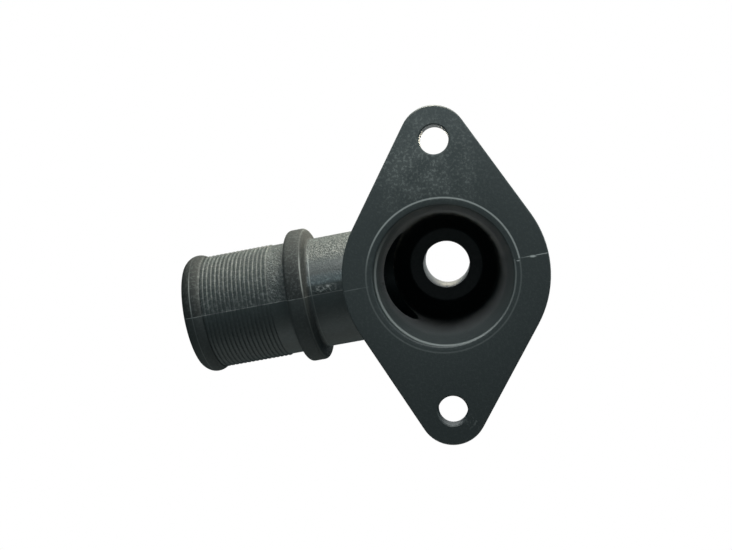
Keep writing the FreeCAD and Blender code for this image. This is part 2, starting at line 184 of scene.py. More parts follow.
class Graph:
    """A node tree that is filled from left to right with short calls."""

    def __init__(self, tree: Tree) -> None:
        """Keep the tree that is filled."""
        self.tree = tree

    @classmethod
    def fresh(cls, owner: bpy.types.Material | bpy.types.World) -> "Graph":
        """Return the graph of a material's or a world's emptied tree."""
        owner.use_nodes = True
        owner.node_tree.nodes.clear()
        return cls(owner.node_tree)

    def add(self, kind: str, **settings: object) -> Node:
        """Add a node and set its properties.

        Args:
            kind: The node's type without its Shader prefix, such as "NodeTexNoise".
            settings: Properties of the node by name.

        Returns:
            The new node.
        """
        node = self.tree.nodes.new(f"Shader{kind}")
        for name, setting in settings.items():
            setattr(node, name, setting)
        return node

    def feed(self, socket: Value, source: object) -> None:
        """Link a socket to another one, or write a constant into it."""
        if isinstance(source, Value):
            self.tree.links.new(source, socket)
        else:
            socket.default_value = source

    def fill(self, node: Node, operands: tuple[object, ...]) -> Node:
        """Feed a node's inputs in their order and return the node."""
        for socket, operand in zip(node.inputs, operands):
            self.feed(socket, operand)
        return node

    def supply(self, node: Node, sources: dict[str, object]) -> Node:
        """Feed a node's inputs by their names and return the node."""
        for name, source in sources.items():
            self.feed(node.inputs[name], source)
        return node

    def math(self, operation: str, *operands: object, clamp: bool = False) -> Value:
        """Return the result of a Math node on sockets or numbers."""
        node = self.add("NodeMath", operation=operation, use_clamp=clamp)
        return self.fill(node, operands).outputs[0]

    def vector(self, operation: str, *operands: object) -> Node:
        """Return a Vector Math node on sockets or vectors."""
        return self.fill(self.add("NodeVectorMath", operation=operation), operands)

    def product(self, *factors: object) -> Value:
        """Return the product of sockets or numbers."""
        return reduce(lambda first, second: self.math("MULTIPLY", first, second), factors)

    def greatest(self, *operands: object) -> Value:
        """Return the greatest of sockets or numbers."""
        return reduce(lambda first, second: self.math("MAXIMUM", first, second), operands)

    def rest(self, mask: Value, share: float = 1.0) -> Value:
        """Return what a share of a mask leaves of one."""
        return self.math("SUBTRACT", 1.0, self.math("MULTIPLY", mask, share))

    def ramp(self, source: Value, span: Span, levels: Span = (0.0, 1.0)) -> Value:
        """Return a smooth step between two levels over a span of a value."""
        node = self.add("NodeMapRange", interpolation_type="SMOOTHSTEP")
        return self.fill(node, (source, *span, *levels)).outputs[0]

    def fall(self, source: Value, span: Span) -> Value:
        """Return a smooth fall from one to zero over a span of a value."""
        return self.ramp(source, span, (1.0, 0.0))

    def window(self, source: Value, rise: Span, fall: Span) -> Value:
        """Return a mask that rises over one span of a value and falls over another."""
        return self.product(self.ramp(source, rise), self.fall(source, fall))

    def off(self, source: Value, centre: float) -> Value:
        """Return how far a value lies from another one."""
        return self.math("ABSOLUTE", self.math("SUBTRACT", source, centre))

    def spot(self, place: Value, centre: Place, reach: Span) -> Value:
        """Return a soft round mask about a centre."""
        return self.fall(self.vector("DISTANCE", place, centre).outputs["Value"], reach)

    def noise(
        self, place: Value, scale: object, detail: float, roughness: float = 0.5
    ) -> Value:
        """Return the factor of a noise texture."""
        node = self.add("NodeTexNoise")
        self.supply(node, {"Vector": place, "Scale": scale})
        return self.supply(node, {"Detail": detail, "Roughness": roughness}).outputs["Fac"]

    def mix_colour(self, factor: object, first: object, second: object) -> Value:
        """Return a blend of two colours."""
        node = self.add("NodeMix", data_type="RGBA")
        self.feed(node.inputs["Factor"], factor)
        self.feed(node.inputs[6], first)
        self.feed(node.inputs[7], second)
        return node.outputs[2]


class Socket(Enum):
    """Kinds of socket that the node groups use."""

    NUMBER = "NodeSocketFloat"
    VECTOR = "NodeSocketVector"


def new_group(
    name: str, inputs: dict[str, Socket], outputs: dict[str, Socket]
) -> tuple[Tree, Graph, Node, Node]:
    """Make an empty shader node group.

    Args:
        name: Name of the group.
        inputs: Kind of each input by name.
        outputs: Kind of each output by name.

    Returns:
        The group, a graph that fills it, its input node and its output node.
    """
    group = bpy.data.node_groups.new(name, "ShaderNodeTree")
    for side, sockets in (("INPUT", inputs), ("OUTPUT", outputs)):
        for title, kind in sockets.items():
            group.interface.new_socket(title, in_out=side, socket_type=kind.value)
    entry = group.nodes.new("NodeGroupInput")
    leave = group.nodes.new("NodeGroupOutput")
    return group, Graph(group), entry, leave


def fibre_grain_group() -> Tree:
    """Build the grain of glass fibres that show at a moulded surface.

    Returns:
        A group that takes a place in millimetres and the grain's pitch, and puts out the
        grain's height, a mask of pale specks and a broad mottle, each from 0 to 1.
    """
    group, graph, entry, leave = new_group(
        "fibre_grain",
        {"Place": Socket.VECTOR, "Pitch": Socket.NUMBER},
        {"Height": Socket.NUMBER, "Specks": Socket.NUMBER, "Mottle": Socket.NUMBER},
    )
    place = entry.outputs["Place"]
    levels = (0.34, 0.66)
    coarse_share = 0.35
    scale = graph.math("DIVIDE", 1.0, entry.outputs["Pitch"])
    coarse_scale = graph.product(scale, 0.35)
    speck_scale = graph.product(scale, 0.62)
    fine = graph.noise(place, scale, detail=3.0, roughness=0.6)
    coarse = graph.noise(place, coarse_scale, detail=2.0)
    height = graph.math(
        "ADD",
        graph.product(graph.ramp(fine, levels), 1.0 - coarse_share),
        graph.product(graph.ramp(coarse, levels), coarse_share),
    )
    dots = graph.noise(place, speck_scale, detail=3.0, roughness=0.65)
    clouds = graph.noise(place, scale=0.16, detail=3.0, roughness=0.6)
    specks = graph.ramp(dots, (0.49, 0.62))
    mottle = graph.ramp(clouds, (0.40, 0.62))
    graph.supply(leave, {"Height": height, "Specks": specks, "Mottle": mottle})
    return group


def near_line_group(core: float = 0.35, blur: float = 0.1) -> Tree:
    """Build a soft mask round a plane through the object.

    Args:
        core: Share of the line's half width that has its full strength.
        blur: Half the distance over which the sides of the plane change, in millimetres.

    Returns:
        A group that takes a place in millimetres, the plane's normal, its lift and half
        the line's width, and puts out a mask of the line, one of the side above it and
        the height above it.
    """
    group, graph, entry, leave = new_group(
        "parting_line",
        {
            "Place": Socket.VECTOR,
            "Normal": Socket.VECTOR,
            "Lift": Socket.NUMBER,
            "Width": Socket.NUMBER,
        },
        {"Line": Socket.NUMBER, "Above": Socket.NUMBER, "Height": Socket.NUMBER},
    )
    place = entry.outputs["Place"]
    along = graph.vector("DOT_PRODUCT", place, entry.outputs["Normal"]).outputs["Value"]
    height = graph.math("SUBTRACT", along, entry.outputs["Lift"])
    share = graph.math("DIVIDE", graph.math("ABSOLUTE", height), entry.outputs["Width"])
    line = graph.fall(share, (core, 1.0))
    above = graph.ramp(height, (-blur, blur))
    graph.supply(leave, {"Line": line, "Above": above, "Height": height})
    return group


# ----- Finish of the moulding -----


# Spans of depths over which the face's own skin ends and the walls behind the flange
# begin, and the span of stations over which the hose pipe leaves the housing.
FACE_SKIN = (0.02, 0.12)
BEHIND_FLANGE = (8.6, 9.4)
PIPE_ROOT = (16.0, 19.0)


@dataclass(frozen=True)
class Where:
    """Where a shaded point lies on the moulding, in millimetres and as masks.

    The station and the distance away are those of the hose pipe's axis; over is the
    height above the parting plane, above the mask of that side and line the plane's line.
    """

    here: Value
    across: Value
    depth: Value
    height: Value
    station: Value
    away: Value
    over: Value
    above: Value
    line: Value
    face: Value
    pipe: Value

    @classmethod
    def at(cls, graph: Graph, here: Value, line_width: float) -> "Where":
        """Return the measures of a point in millimetres."""
        split = graph.add("NodeSeparateXYZ")
        graph.feed(split.inputs[0], here)
        across, depth, height = split.outputs

        lifts = (PARTING.face_lift, PARTING.lift)
        lift = graph.ramp(depth, (0.0, PARTING.settled), lifts)
        parting = graph.add("NodeGroup", node_tree=near_line_group())
        graph.supply(parting, {"Place": here, "Normal": PARTING.normal})
        graph.supply(parting, {"Lift": lift, "Width": line_width})

        offset = graph.vector("SUBTRACT", here, PIPE_AXIS.origin).outputs[0]
        station = graph.vector("DOT_PRODUCT", offset, PIPE_AXIS.direction).outputs["Value"]
        along = graph.vector("SCALE", PIPE_AXIS.direction)
        graph.feed(along.inputs["Scale"], station)
        away = graph.vector("DISTANCE", offset, along.outputs[0]).outputs["Value"]
        behind = graph.ramp(depth, BEHIND_FLANGE)
        return cls(
            here=here,
            across=across,
            depth=depth,
            height=height,
            station=station,
            away=away,
            over=parting.outputs["Height"],
            above=parting.outputs["Above"],
            line=parting.outputs["Line"],
            face=graph.fall(depth, FACE_SKIN),
            pipe=graph.product(graph.ramp(station, PIPE_ROOT), behind),
        )


@dataclass(frozen=True)
class Zones:
    """Masks of the parts of the moulding that look different, each from 0 to 1.

    Attributes:
        pipe: The hose pipe outside the housing.
        grained: The grained part of its upper half. Its pale grain is weakened on the neck
            near the parting line, as painted shade.
        upper_bands: The upper half of the collar and the bead, which is rougher and
            carries the strongest painted shade.
        bands: The whole collar and bead, which are duller and rougher, and painted a
            little darker as painted shade.
        ridged: The ridged stretch of the pipe.
        sheen_streak: A painted highlight along the neck, on a band that is also glossier.
        ripples: The rippled flash on the neck.
        seam: The seam round the mouth, a real line whose brightness is painted highlight,
            growing towards the top and the upper right.
        lip_highlight: A painted highlight on the rounded edge inside the mouth, which is
            also glossier.
        rim_highlights: Painted highlights along the edges of the collar and the bead,
            which are also glossier.
        line: The parting line.
        patch: The mottled patch above the mouth.
        scuff: The spot beside the lower bolt hole.
    """

    pipe: Value
    grained: Value
    upper_bands: Value
    bands: Value
    ridged: Value
    sheen_streak: Value
    ripples: Value
    seam: Value
    lip_highlight: Value
    rim_highlights: Value
    line: Value
    patch: Value
    scuff: Value


@dataclass(frozen=True)
class Strengths:
    """How strongly the zones show in the colour, the roughness and the bump."""

    upper_band_shade: float = 0.95
    band_shade_share: float = 0.45
    mottled: float = 0.65
    patch_specks: float = 0.85
    grain_specks: float = 0.66
    stray_specks: float = 0.10
    patch_glow: float = 0.22
    grain_glow: float = 0.10
    sheen_streak: Span = (0.45, 0.95)
    scuff_levels: Span = (0.3, 0.9)
    scuff: float = 0.17
    rim_highlights: float = 0.52
    ripples: float = 0.33
    upper_band_grain: float = 1.6
    band_roughness: float = 0.26
    gloss: float = 0.14
    ridge_calm: float = 0.45
    grain_bump: float = 0.75
    base_bump: float = 0.09
    bump_depth: float = 0.18


@dataclass(frozen=True)
class FilledNylon:
    """Black nylon filled with short glass fibres, as it leaves the mould.

    Colours are linear and lengths in millimetres. Some of them paint shade and highlights
    onto the moulding.

    Attributes:
        base: Colour of the plastic.
        pale: Colour of the fibre specks and of the mottled flow marks.
        band_shade: Darker colour of painted shade on the collar and the bead, most on
            their upper half.
        flash: Colour of the thin flash along the parting lines, also used for the painted
            highlights.
        sheen_streak: Colour of the painted highlight along the neck.
        smooth_roughness: Roughness of the pipe's lower half.
        roughness: Roughness of the flange.
        grained_roughness: Roughness of the pipe's upper half.
        grain_pitch: Pitch of the fibre grain.
        line_width: Half the width of the parting line.
        seam_radius: Radius of the seam round the mouth.
        lip_radius: Radius of the painted highlight on the rounded edge inside the mouth.
        lip_centre: Centre of that painted highlight.
        rim_stations: Stations of the painted highlights along the edges of the collar and
            the bead.
        patch_middle: Middle of the mottled patch above the mouth.
        scuff_middle: Middle of the scuffed spot beside the lower bolt hole.
        squash: Stretch of the frame in which the next two spots are round.
        flash_blob: Middle of the thick spot of the face's parting line, in that frame.
        rim_point: The bright point where that line meets the mouth, in that frame.
    """

    base: Colour = (0.0275, 0.0345, 0.0350, 1.0)
    pale: Colour = (0.108, 0.120, 0.116, 1.0)
    band_shade: Colour = (0.0085, 0.0105, 0.0105, 1.0)
    flash: Colour = (0.36, 0.38, 0.37, 1.0)
    sheen_streak: Colour = (0.150, 0.180, 0.190, 1.0)
    smooth_roughness: float = 0.41
    roughness: float = 0.47
    grained_roughness: float = 0.50
    grain_pitch: float = 0.42
    line_width: float = 0.14
    seam_radius: float = 18.25
    lip_radius: float = 16.65
    lip_centre: Place = (0.4, 0.0, 0.0)
    rim_stations: tuple[float, ...] = (31.75, 33.35, 62.4)
    patch_middle: Place = (-2.0, 0.0, 25.0)
    scuff_middle: Place = (4.6, 0.0, -35.0)
    squash: Place = (1.0, 1.0, 3.0)
    flash_blob: Place = (21.2, 0.0, 8.9)
    rim_point: Place = (17.75, 0.1, 6.5)

    @staticmethod
    def bands(graph: Graph, where: Where) -> dict[str, Value]:
        """Return the masks of the pipe's grained and ridged bands, and of the collar and
        the bead, which carry painted shade.
        """
        collar = graph.window(where.station, rise=(32.1, 32.4), fall=(37.6, 38.2))
        bands = graph.greatest(collar, graph.ramp(where.station, (59.6, 60.6)))
        neck = graph.fall(where.station, (32.0, 33.0))
        # Painted shade: the pale grain is weakened on the neck's middle near the parting
        # line, so the neck's top stays lighter.
        neck_shade_band = graph.product(neck, graph.fall(where.over, (6.5, 11.5)))
        upper = graph.product(where.above, where.pipe)
        return {
            "grained": graph.product(
                upper, graph.rest(bands, share=0.80), graph.rest(neck_shade_band, share=0.88)
            ),
            # Upper halves of the collar and the bead: painted shade darkens them, and
            # their grain is rougher.
            "upper_bands": graph.product(upper, bands),
            "bands": graph.product(bands, where.pipe),
            "ridged": graph.window(where.station, rise=(42.0, 43.0), fall=(59.5, 61.0)),
        }

    @staticmethod
    def neck_marks(graph: Graph, where: Where) -> dict[str, Value]:
        """Return the masks of the painted highlight along the neck and of the ripples
        above the neck's line.
        """
        near = graph.product(graph.fall(where.depth, (14.0, 19.0)), where.pipe)
        # Painted highlight: a pale bluish band along the neck, two to five millimetres
        # above the parting plane.
        sheen_streak = graph.window(where.over, rise=(2.0, 3.0), fall=(3.8, 5.4))
        wave = graph.off(graph.noise(where.here, scale=0.75, detail=2.0), 0.5)
        return {
            "sheen_streak": graph.product(sheen_streak, graph.fall(where.station, (32.0, 32.8)), near),
            "ripples": graph.product(
                graph.fall(wave, (0.01, 0.045)),
                graph.window(where.over, rise=(0.1, 0.5), fall=(1.7, 2.5)),
                graph.window(where.station, rise=(24.8, 26.0), fall=(30.6, 31.8)),
                near,
            ),
        }

    def mouth_rings(self, graph: Graph, where: Where) -> dict[str, Value]:
        """Return the masks of the seam round the mouth, a real line brightened by painted
        highlight, and of the painted highlight inside the mouth.
        """
        flat = graph.vector("MULTIPLY", where.here, (1.0, 0.0, 1.0)).outputs[0]
        seam_reach = graph.vector("LENGTH", flat).outputs["Value"]
        lip_reach = graph.vector("DISTANCE", flat, self.lip_centre).outputs["Value"]
        upper_right = graph.product(where.above, graph.ramp(where.across, (8.0, 14.0)))
        low_right = graph.product(
            graph.ramp(where.across, (4.0, 12.0)),
            graph.ramp(where.height, (-18.0, -8.0), levels=(0.0, 0.62)),
        )
        return {
            # The seam round the mouth is a real line. Its brightness, which grows towards
            # the top and the upper right, is painted highlight.
            "seam": graph.product(
                graph.fall(graph.off(seam_reach, self.seam_radius), (0.05, 0.3)),
                graph.fall(where.depth, (0.1, 0.3)),
                graph.greatest(
                    graph.ramp(where.height, (0.0, 13.0), levels=(0.14, 0.70)),
                    graph.product(upper_right, 0.70),
                ),
            ),
            # Painted highlight on the rounded edge inside the mouth: strongest low down,
            # weaker towards the top and on the right.
            "lip_highlight": graph.product(
                graph.fall(graph.off(lip_reach, self.lip_radius), (0.04, 0.30)),
                graph.fall(where.depth, (4.5, 6.0)),
                graph.ramp(where.height, (3.0, 14.0), levels=(0.62, 0.06)),
                graph.rest(upper_right, share=0.92),
                graph.rest(low_right),
            ),
        }

    def rim_highlights(self, graph: Graph, where: Where) -> Value:
        """Return the mask of the painted highlights along the edges of the collar and the
        bead, strongest on their upper middle.
        """
        edges = [
            graph.fall(graph.off(where.station, station), (0.04, 0.22))
            for station in self.rim_stations
        ]
        return graph.product(
            graph.greatest(*edges),
            graph.ramp(where.away, (13.0, 13.6)),
            graph.ramp(where.over, (-1.0, 3.0), levels=(0.20, 1.0)),
            graph.ramp(where.over, (7.0, 12.0), levels=(1.0, 0.15)),
            where.pipe,
        )

    def parting_line(self, graph: Graph, where: Where) -> Value:
        """Return the mask of the parting line with its thick spot and bright point."""
        right = graph.ramp(where.across, (19.0, 20.4), levels=(0.19, 0.80))
        on_face = graph.product(where.face, right)
        on_pipe = graph.product(where.pipe, 0.37)
        strength = graph.math("ADD", on_face, on_pipe, clamp=True)
        gaps = graph.noise(where.here, scale=0.45, detail=2.0)
        broken = graph.ramp(gaps, (0.40, 0.58), levels=(0.45, 1.0))
        frame = graph.vector("MULTIPLY", where.here, self.squash).outputs[0]
        blob = graph.spot(frame, self.flash_blob, (0.3, 1.1))
        point = graph.spot(frame, self.rim_point, (0.15, 0.60))
        return graph.greatest(
            graph.product(where.line, strength, broken),
            graph.product(blob, where.face),
            graph.product(point, 0.9),
        )

    def zones(self, graph: Graph, here: Value) -> Zones:
        """Return the masks at a place in millimetres."""
        where = Where.at(graph, here, self.line_width)
        patch = graph.spot(here, self.patch_middle, (4.0, 18.0))
        scuff = graph.spot(here, self.scuff_middle, (0.5, 2.6))
        return Zones(
            pipe=where.pipe,
            rim_highlights=self.rim_highlights(graph, where),
            line=self.parting_line(graph, where),
            patch=graph.product(patch, where.face),
            scuff=graph.product(scuff, where.face),
            **self.bands(graph, where),
            **self.neck_marks(graph, where),
            **self.mouth_rings(graph, where),
        )

    def colour(
        self, graph: Graph, grain: Node, zones: Zones, share: Strengths
    ) -> Value:
        """Return the colour with its specks, mottle and lines, and with painted shade and
        painted highlights.
        """
        specks, mottle = grain.outputs["Specks"], grain.outputs["Mottle"]
        # Painted shade: the collar and the bead are mixed towards a darker colour, most on
        # their upper half.
        band_shade_mask = graph.greatest(
            graph.product(zones.upper_bands, share.upper_band_shade),
            graph.product(zones.bands, share.band_shade_share),
        )
        mottled = graph.product(mottle, share.mottled)
        clustered = graph.math("ADD", mottled, 1.0 - share.mottled)
        amount = graph.math(
            "ADD",
            graph.product(zones.patch, clustered, share.patch_specks),
            graph.product(zones.grained, share.grain_specks),
        )
        amount = graph.math("ADD", amount, share.stray_specks)
        glow = graph.math(
            "ADD",
            graph.product(mottle, zones.patch, share.patch_glow),
            graph.product(zones.grained, share.grain_glow),
        )
        speckled = graph.ramp(specks, (0.0, 1.0), levels=share.sheen_streak)
        worn = graph.product(zones.scuff, graph.ramp(specks, share.scuff_levels))
        marks = graph.greatest(
            zones.line,
            # Seam round the mouth, with its painted highlight.
            zones.seam,
            # Painted highlight inside the mouth.
            zones.lip_highlight,
            graph.product(worn, share.scuff),
            # Painted highlights along the edges of the collar and the bead.
            graph.product(zones.rim_highlights, share.rim_highlights),
            graph.product(zones.ripples, share.ripples),
        )
        colour = graph.mix_colour(band_shade_mask, self.base, self.band_shade)
        colour = graph.mix_colour(graph.product(specks, amount), colour, self.pale)
        colour = graph.mix_colour(glow, colour, self.pale)
        # Painted highlight along the neck, broken up by the fibre specks.
        sheen_streak = graph.product(zones.sheen_streak, speckled)
        colour = graph.mix_colour(sheen_streak, colour, self.sheen_streak)
        return graph.mix_colour(marks, colour, self.flash)

    def roughness_of(self, graph: Graph, zones: Zones, share: Strengths) -> Value:
        """Return the roughness: smooth below the parting line, grained above it."""
        grained = graph.product(
            graph.greatest(zones.grained, graph.product(zones.upper_bands, share.upper_band_grain)),
            self.grained_roughness - self.smooth_roughness,
        )
        on_pipe = graph.math("ADD", grained, self.smooth_roughness - self.roughness)
        rough = graph.math("ADD", graph.product(zones.pipe, on_pipe), self.roughness)
        rough = graph.math("ADD", rough, graph.product(zones.bands, share.band_roughness))
        glossy = graph.greatest(zones.lip_highlight, zones.rim_highlights, zones.sheen_streak)
        return graph.math("SUBTRACT", rough, graph.product(glossy, share.gloss))

    def build(self) -> bpy.types.Material:
        """Return the material."""
        material = bpy.data.materials.new("black_nylon_glass_filled")
        graph = Graph.fresh(material)
        coordinates = graph.add("NodeTexCoord")
        place = graph.vector("SCALE", coordinates.outputs["Object"])
        place.inputs["Scale"].default_value = 1 / MM
        here = place.outputs[0]

        grain = graph.add("NodeGroup", node_tree=fibre_grain_group())
        graph.supply(grain, {"Place": here, "Pitch": self.grain_pitch})
        zones = self.zones(graph, here)
        share = Strengths()

        shader = graph.add("NodeBsdfPrincipled")
        output = graph.add("NodeOutputMaterial")
        graph.feed(shader.inputs["Base Color"], self.colour(graph, grain, zones, share))
        graph.feed(shader.inputs["Roughness"], self.roughness_of(graph, zones, share))
        strength = graph.product(
            zones.grained, graph.rest(zones.ridged, share.ridge_calm), share.grain_bump
        )
        bump = graph.add("NodeBump")
        graph.feed(bump.inputs["Strength"], graph.math("ADD", strength, share.base_bump))
        bump.inputs["Distance"].default_value = share.bump_depth * MM
        graph.feed(bump.inputs["Height"], grain.outputs["Height"])
        graph.feed(shader.inputs["Normal"], bump.outputs[0])
        graph.feed(output.inputs["Surface"], shader.outputs[0])
        return material


# ----- Studio -----


@dataclass(frozen=True)
class PhotoCamera:
    """The camera of the photograph, worked out from its picture of the flange.

    Attributes:
        focal_px: Focal length in pixels of the picture.
        width_px: Width of the picture.
        height_px: Height of the picture.
        face_normal_px: Pixel towards which lines square to the mounting face run.
        bore_px: Pixel of the bore's centre on the mounting face.
        roll: Angle by which the picture's upright leans left of the bolt line, in degrees.
        distance: Distance of the bore's centre from the lens plane, in millimetres.
        sensor: Width of the sensor in millimetres.
    """

    focal_px: float = 1500.0
    width_px: float = 732.0
    height_px: float = 550.0
    face_normal_px: tuple[float, float] = (475.0, 248.0)
    bore_px: tuple[float, float] = (443.25, 275.25)
    roll: float = 4.1
    distance: float = 352.6
    sensor: float = 36.0

    def ray(self, pixel: tuple[float, float]) -> Vector:
        """Return a pixel's line of sight, x right, y down and z forward."""
        across = (pixel[0] - self.width_px / 2) / self.focal_px
        down = (pixel[1] - self.height_px / 2) / self.focal_px
        return Vector((across, down, 1.0))

    def build(self) -> None:
        """Add the camera and make it the scene's own."""
        depth = self.ray(self.face_normal_px).normalized()
        lean = math.radians(self.roll)
        upright = Vector((-math.sin(lean), -math.cos(lean), 0.0))
        up = (upright - depth * upright.dot(depth)).normalized()
        right = depth.cross(up)
        to_lens = Matrix((right, depth, up)).transposed()
        bore = self.ray(self.bore_px) * self.distance
        place = to_lens.transposed() @ -bore
        flip = Matrix(((1, 0, 0), (0, -1, 0), (0, 0, -1)))
        turn = to_lens.transposed() @ flip

        data = bpy.data.cameras.new("photo_camera")
        data.sensor_width = self.sensor
        data.lens = self.focal_px / self.width_px * self.sensor
        data.clip_start = 0.01
        camera = bpy.data.objects.new("photo_camera", data)
        camera.matrix_world = Matrix.Translation(place * MM) @ turn.to_4x4()
        bpy.context.scene.collection.objects.link(camera)
        bpy.context.scene.camera = camera


@dataclass(frozen=True)
class SoftLamp:
    """A rectangular soft box.

    Attributes:
        name: Name of the lamp.
        place: Its centre in metres.
        target: The point it faces, in metres.
        size: Its width and height in metres.
        power: Its power in watts.
        tint: Its colour.
    """

    name: str
    place: Place
    target: Place
    size: Span
    power: float
    tint: Place

    def build(self) -> None:
        """Add the lamp."""
        data = bpy.data.lights.new(self.name, "AREA")
        data.shape = "RECTANGLE"
        data.size, data.size_y = self.size
        data.energy = self.power
        data.color = self.tint
        lamp = bpy.data.objects.new(self.name, data)
        aim = Vector(self.target) - Vector(self.place)
        turn = aim.to_track_quat("-Z", "Y").to_matrix().to_4x4()
        lamp.matrix_world = Matrix.Translation(self.place) @ turn
        bpy.context.scene.collection.objects.link(lamp)


BORE = (0.0, 0.0, 0.0)
PIPE_MIDDLE = (-0.03, 0.02, 0.0)
NECK = (-0.027, 0.02, 0.012)
PORT = (0.0, 0.066, -0.001)
WARM = (1.0, 0.98, 0.84)
COOL = (0.86, 1.0, 1.0)
NEUTRAL = (0.94, 1.0, 1.0)
AMBER = (1.0, 0.92, 0.72)
LAMPS = (
    SoftLamp("key_above", (0.0, 0.07, 0.23), PIPE_MIDDLE, (0.24, 0.12), 0.63, WARM),
    SoftLamp("key_front", (0.0, -0.045, 0.095), BORE, (0.16, 0.04), 0.165, NEUTRAL),
    SoftLamp("fill_front", (0.0, -0.60, -0.02), BORE, (0.22, 0.22), 0.085, NEUTRAL),
    SoftLamp("key_neck", (-0.005, 0.035, 0.11), NECK, (0.04, 0.03), 0.115, WARM),
    SoftLamp("glow_port", (0.0, 0.105, 0.042), PORT, (0.03, 0.02), 0.038, AMBER),
    SoftLamp("fill_left", (-0.25, -0.09, 0.02), BORE, (0.15, 0.15), 0.045, COOL),
    SoftLamp("fill_low", (-0.08, -0.03, -0.26), PIPE_MIDDLE, (0.25, 0.15), 0.050, COOL),
    SoftLamp("fill_right", (0.28, -0.03, 0.06), BORE, (0.20, 0.20), 0.24, COOL),
    SoftLamp("glow_behind", (0.0, 0.13, 0.006), BORE, (0.05, 0.05), 0.007, NEUTRAL),
    SoftLamp("fill_back", (0.05, 0.42, 0.12), BORE, (0.30, 0.30), 0.14, NEUTRAL),
)


@dataclass(frozen=True)
class Studio:
    """A plain white studio with one broad light from above and weak fills.

    Attributes:
        floor_height: Height of the floor below the bore, in metres.
        floor_reach: Half the width of the floor, in metres.
        floor_fade: Span of distances over which the floor turns to plain white.
        floor_tint: Colour of the floor near the object.
        world_tint: Dim colour of the surroundings, as all but the camera sees them.
    """

    floor_height: float = -0.30
    floor_reach: float = 3.0
    floor_fade: Span = (0.18, 0.45)
    floor_tint: Colour = (0.82, 0.82, 0.82, 1.0)
    world_tint: Colour = (0.022, 0.048, 0.058, 1.0)

    def build_world(self) -> None:
        """Make the surroundings white to the camera and dim to everything else."""
        world = bpy.data.worlds.new("studio")
        bpy.context.scene.world = world
        graph = Graph.fresh(world)
        seen = graph.add("NodeLightPath").outputs["Is Camera Ray"]
        shade = graph.add("NodeBackground")
        white = (1.0, 1.0, 1.0, 1.0)
        graph.feed(shade.inputs["Color"], graph.mix_colour(seen, self.world_tint, white))
        output = graph.add("NodeOutputWorld")
        graph.feed(output.inputs["Surface"], shade.outputs[0])

    def floor_material(self) -> bpy.types.Material:
        """Return a pale floor that turns to plain white away from the object."""
        material = bpy.data.materials.new("studio_floor")
        graph = Graph.fresh(material)
        coordinates = graph.add("NodeTexCoord")
        reach = graph.vector("LENGTH", coordinates.outputs["Object"]).outputs["Value"]
        far = graph.ramp(reach, self.floor_fade)
        seen = graph.product(graph.add("NodeLightPath").outputs["Is Camera Ray"], far)
        pale = graph.add("NodeBsdfDiffuse")
        pale.inputs["Color"].default_value = self.floor_tint
        white = graph.add("NodeEmission")
        blend = graph.add("NodeMixShader")
        graph.feed(blend.inputs[0], seen)
        graph.feed(blend.inputs[1], pale.outputs[0])
        graph.feed(blend.inputs[2], white.outputs[0])
        output = graph.add("NodeOutputMaterial")
        graph.feed(output.inputs["Surface"], blend.outputs[0])
        return material

    def build_floor(self) -> None:
        """Add the floor well below the part, which is held by its bolts."""
        sheet = bmesh.new()
        bmesh.ops.create_grid(sheet, x_segments=1, y_segments=1, size=self.floor_reach)
        data = bpy.data.meshes.new("studio_floor")
        bmesh.ops.translate(sheet, verts=sheet.verts, vec=(0, 0, self.floor_height))
        sheet.to_mesh(data)
        sheet.free()
        floor = bpy.data.objects.new("studio_floor", data)
        data.materials.append(self.floor_material())
        bpy.context.scene.collection.objects.link(floor)

    def build(self) -> None:
        """Add surroundings, floor and lamps."""
        self.build_world()
        self.build_floor()
        for lamp in LAMPS:
            lamp.build()


# ----- The moulding -----


